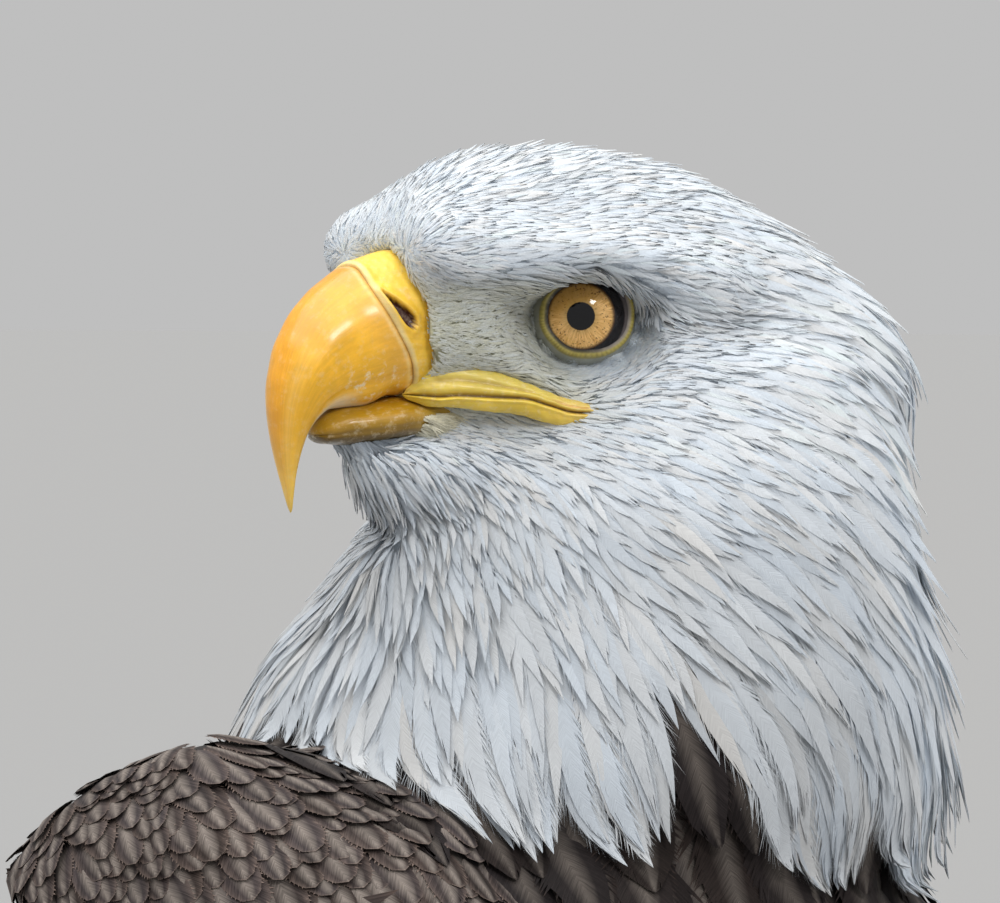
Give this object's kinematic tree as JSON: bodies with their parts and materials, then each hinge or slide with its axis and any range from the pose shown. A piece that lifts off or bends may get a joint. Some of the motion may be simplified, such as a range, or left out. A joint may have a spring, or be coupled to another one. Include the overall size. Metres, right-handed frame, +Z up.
{
  "type": "bald eagle",
  "caption": "Life-size standing bald eagle with folded wings and its head turned to its left: white head, neck and tail, dark brown body, hooked yellow bill and clawed yellow feet.",
  "frame": {"origin": "on the ground, under the middle of the bounding box", "axes": "+Z up, -Y the way the breast faces, +X the bird's left"},
  "size_m": [0.2818, 0.5182, 0.6497],
  "materials": {
    "white_feather": "soft matt white feather with grey shading",
    "brown_feather": "dark brown feather with a slight sheen and paler edges",
    "bill_horn": "smooth yellow horn with fine streaks",
    "cere_skin": "waxy bare yellow skin",
    "foot_skin": "yellow scaled skin",
    "claw_horn": "black horn, polished at the tip",
    "eye": "wet clear cornea over a pale orange iris"
  },
  "bodies": {
    "root": {"head": "white_feather", "neck": "white_feather", "trunk": "brown_feather", "tail": "white_feather", "wing_left": "brown_feather", "wing_right": "brown_feather", "thigh_left": "brown_feather", "thigh_right": "brown_feather", "shank_left": "foot_skin", "shank_right": "foot_skin", "toe_inner_left": "foot_skin", "toe_middle_left": "foot_skin", "toe_outer_left": "foot_skin", "toe_hind_left": "foot_skin", "toe_inner_right": "foot_skin", "toe_middle_right": "foot_skin", "toe_outer_right": "foot_skin", "toe_hind_right": "foot_skin", "claw_inner_left": "claw_horn", "claw_middle_left": "claw_horn", "claw_outer_left": "claw_horn", "claw_hind_left": "claw_horn", "claw_inner_right": "claw_horn", "claw_middle_right": "claw_horn", "claw_outer_right": "claw_horn", "claw_hind_right": "claw_horn", "bill_upper": "bill_horn", "cere": "cere_skin", "bill_lower": "bill_horn", "gape_left": "cere_skin", "gape_right": "cere_skin", "eye_left": "eye", "eye_right": "eye"}
  },
  "joints": []
}
